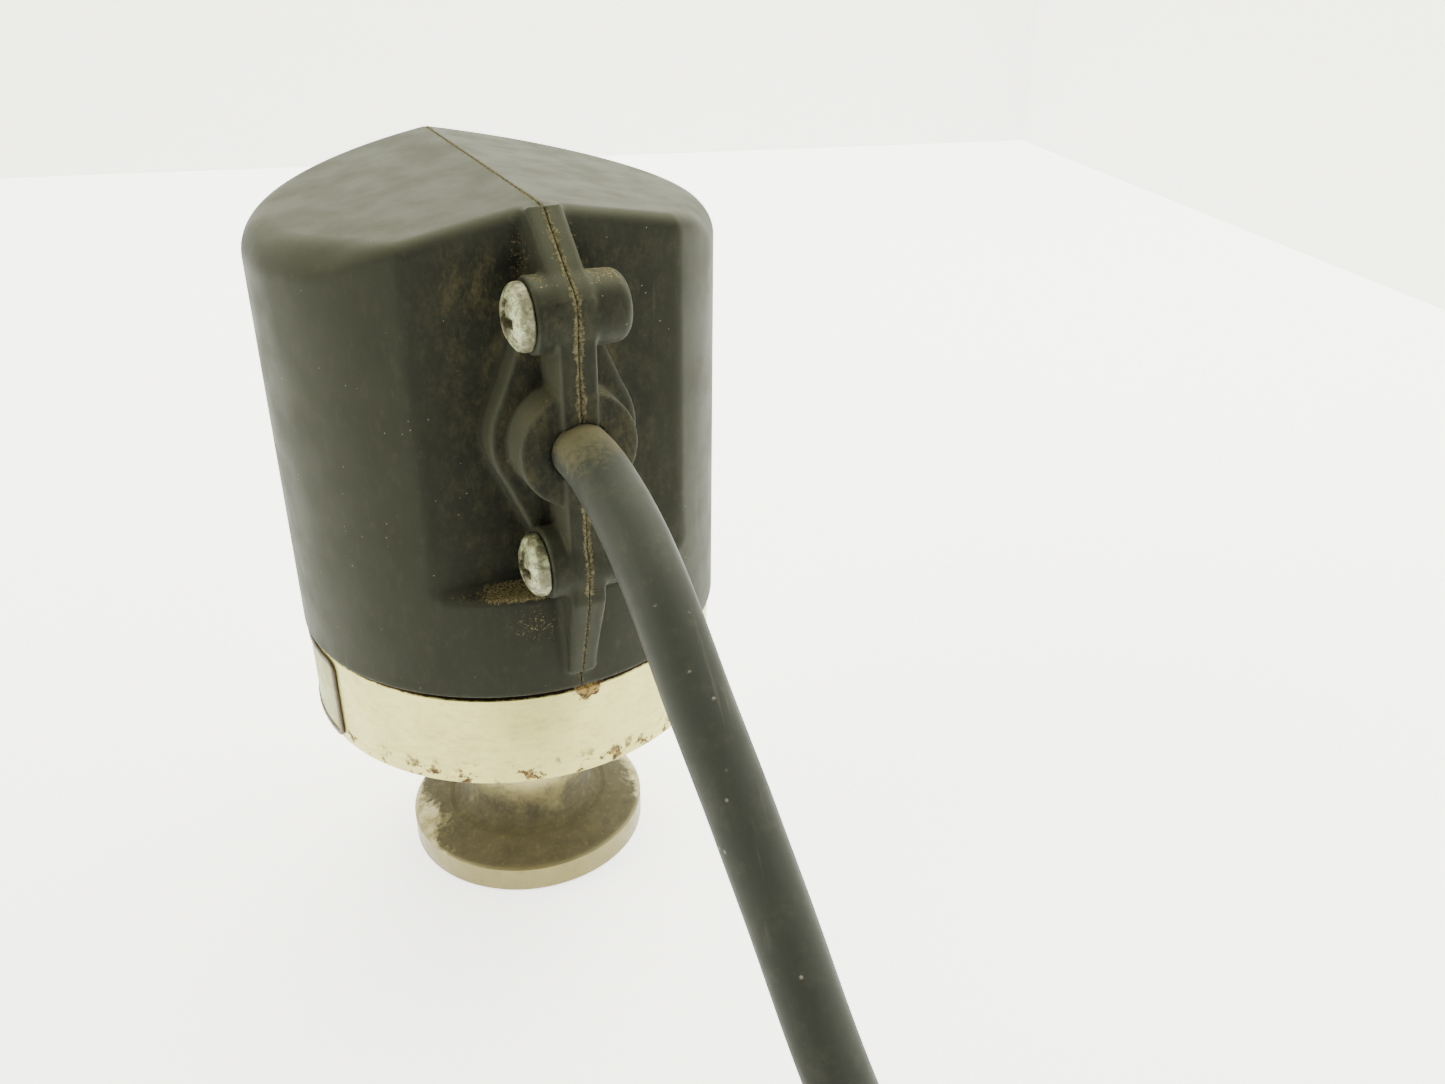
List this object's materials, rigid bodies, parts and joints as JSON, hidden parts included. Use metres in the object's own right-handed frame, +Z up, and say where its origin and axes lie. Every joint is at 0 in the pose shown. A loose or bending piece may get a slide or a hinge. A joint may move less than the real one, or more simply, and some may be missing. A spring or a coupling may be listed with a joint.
{
  "type": "motorised actuator head",
  "caption": "Motorised actuator head: geared motor in a split cover pushes a stem down through the neck of a clamp ferrule, with a fixed supply cable.",
  "frame": {"origin": "centre of the ferrule's flat mating face, at the mouth of the centring recess", "axes": "+Z up the body's axis, -Y towards the cable gland, +X to the right seen from the gland's side"},
  "size_m": [0.1081, 0.2202, 0.1155],
  "materials": {
    "ferrule_metal": "dull, stained",
    "steel": "satin",
    "rubber": "matte",
    "bronze": "sintered, oiled",
    "plated_ring": "satin plating, pitted",
    "nameplate": "printed foil",
    "black_cover": "semi-matt, dusty",
    "zinc_screw": "zinc plated, corroded",
    "brass": "machined",
    "cable_sheath": "satin",
    "nylon": "natural",
    "magnet": "matte",
    "copper": "enamelled wire",
    "motor_steel": "zinc plated",
    "switch_case": "moulded",
    "plunger": "moulded",
    "board": "solder mask",
    "terminal_green": "moulded",
    "capacitor": "sleeve",
    "core_insulation": "pvc",
    "tie_nylon": "natural"
  },
  "bodies": {
    "housing": {"ferrule": "ferrule_metal", "ferrule_nut": "steel", "stem_seal": "rubber", "stem_bush": "bronze", "base_ring": "plated_ring", "base_gasket": "rubber", "nameplate": "nameplate", "cover_left": "black_cover", "cover_right": "black_cover", "cover_screws": "zinc_screw", "cover_inserts": "brass", "cable_grommet": "rubber", "cable_entry": "cable_sheath", "lower_plate": "steel", "upper_plate": "steel", "chassis_pillars": "steel", "chassis_screws": "steel", "gear_pillars": "steel", "gear_axles": "steel", "lower_bush": "bronze", "upper_bush": "bronze", "guide_rod": "steel", "stator_coil": "copper", "motor_can": "motor_steel", "motor_cap": "motor_steel", "motor_screws": "steel", "motor_bushes": "bronze", "switch_bracket": "steel", "open_switch": "switch_case", "closed_switch": "switch_case", "switch_screws": "steel", "board_pillars": "nylon", "circuit_board": "board", "board_screws": "steel", "terminal_block": "terminal_green", "terminal_screws": "steel", "capacitor": "capacitor", "relay": "switch_case", "supply_cores": "core_insulation", "motor_wires": "core_insulation", "cable": "cable_sheath", "cable_coil": "cable_sheath", "coil_tie": "tie_nylon", "cable_end_cores": "core_insulation"},
    "output": {"output_gear": "brass"},
    "stem": {"push_stem": "steel", "trip_arm": "steel", "arm_screw": "steel"},
    "gear_2": {"second_gear": "nylon"},
    "gear_1": {"first_gear": "nylon"},
    "rotor": {"motor_pinion": "brass", "motor_shaft": "steel", "rotor_magnet": "magnet"},
    "open_button": {"open_plunger": "plunger"},
    "closed_button": {"closed_plunger": "plunger"}
  },
  "joints": [
    {"name": "rotor_turn", "type": "hinge", "parent": "housing", "child": "rotor", "pos_m": [0, 0.0138, 0.064], "axis": [0, 0, -1], "range_deg": [0, 49494]},
    {"name": "first_gear_turn", "type": "hinge", "parent": "housing", "child": "gear_1", "pos_m": [0.011, 0.01361, 0.06], "axis": [0, 0, 1], "range_deg": [0, 18561]},
    {"name": "second_gear_turn", "type": "hinge", "parent": "housing", "child": "gear_2", "pos_m": [0.01695, 0.00436, 0.056], "axis": [0, 0, -1], "range_deg": [0, 6961]},
    {"name": "output_gear_turn", "type": "hinge", "parent": "housing", "child": "output", "pos_m": [0, 0, 0.055], "axis": [0, 0, 1], "range_deg": [0, 1440.1]},
    {"name": "stem_slide", "type": "slide", "parent": "housing", "child": "stem", "axis": [0, 0, -1], "range_m": [0, 0.006]},
    {"name": "open_button_press", "type": "slide", "parent": "housing", "child": "open_button", "axis": [1, 0, 0], "range_m": [0, 0.0006], "stiffness_N_per_m": 60, "springref_m": -0.0003},
    {"name": "closed_button_press", "type": "slide", "parent": "housing", "child": "closed_button", "axis": [1, 0, 0], "range_m": [0, 0.0006], "stiffness_N_per_m": 60, "springref_m": -0.0003}
  ],
  "couplings": [
    {"joint": "output_gear_turn", "follows": "stem_slide", "rad_per_m": 4188.8},
    {"joint": "second_gear_turn", "follows": "stem_slide", "rad_per_m": 20246},
    {"joint": "first_gear_turn", "follows": "stem_slide", "rad_per_m": 53989},
    {"joint": "rotor_turn", "follows": "stem_slide", "rad_per_m": 143970}
  ]
}
